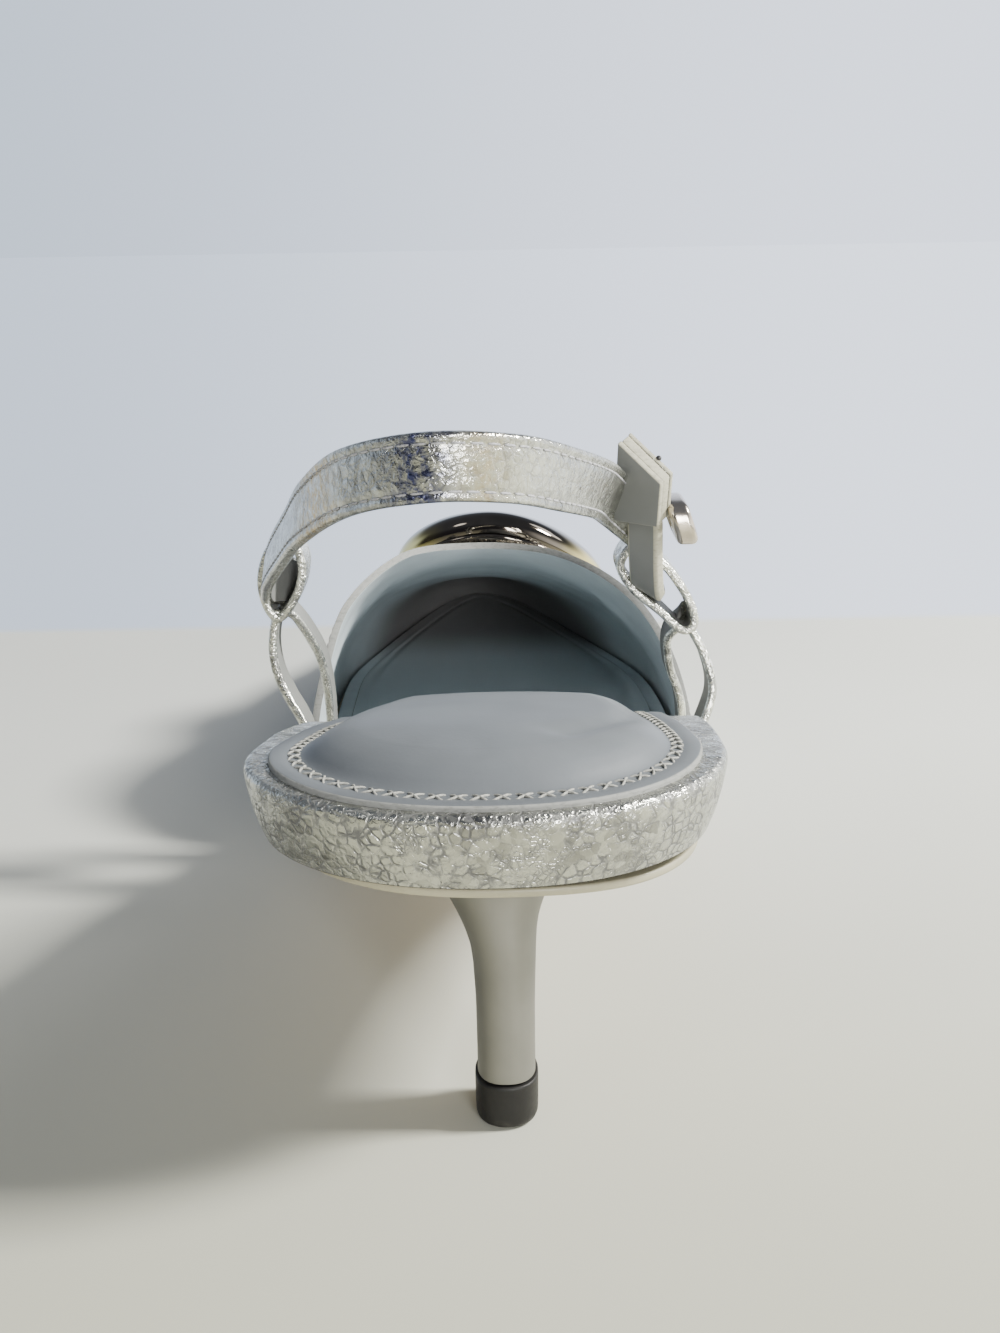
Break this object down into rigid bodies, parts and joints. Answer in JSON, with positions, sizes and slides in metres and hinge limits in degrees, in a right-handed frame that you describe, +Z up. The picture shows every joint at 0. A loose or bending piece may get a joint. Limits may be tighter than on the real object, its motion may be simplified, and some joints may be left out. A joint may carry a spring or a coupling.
{
  "type": "slingback pump",
  "caption": "Right-foot slingback pump with a closed toe, a domed metal ornament on the vamp, forked side loops, a buckled heel strap and a slim metal heel.",
  "frame": {"origin": "on the floor under the middle of the shoe's plan box", "axes": "+Y towards the toe, +X towards the foot's outer side, +Z up"},
  "size_m": [0.0774, 0.2452, 0.0865],
  "materials": {
    "silver_leather": "crackled metallic foil, semi gloss",
    "sole_leather": "satin champagne",
    "grey_lining": "smooth matt lining",
    "satin_metal": "satin",
    "polished_metal": "polished",
    "gilt_rim": "polished",
    "black_rubber": "matt"
  },
  "bodies": {
    "root": {"outsole": "sole_leather", "covered_insole": "silver_leather", "insole_sock": "grey_lining", "vamp": "silver_leather", "heel": "satin_metal", "top_piece": "black_rubber", "medial_quarter_loop": "silver_leather", "lateral_quarter_loop": "silver_leather", "sling_strap": "silver_leather", "buckle_strap": "grey_lining", "strap_end": "grey_lining", "buckle_frame": "satin_metal", "buckle_prong": "satin_metal", "vamp_ornament": "polished_metal", "ornament_rim": "gilt_rim"}
  },
  "joints": []
}
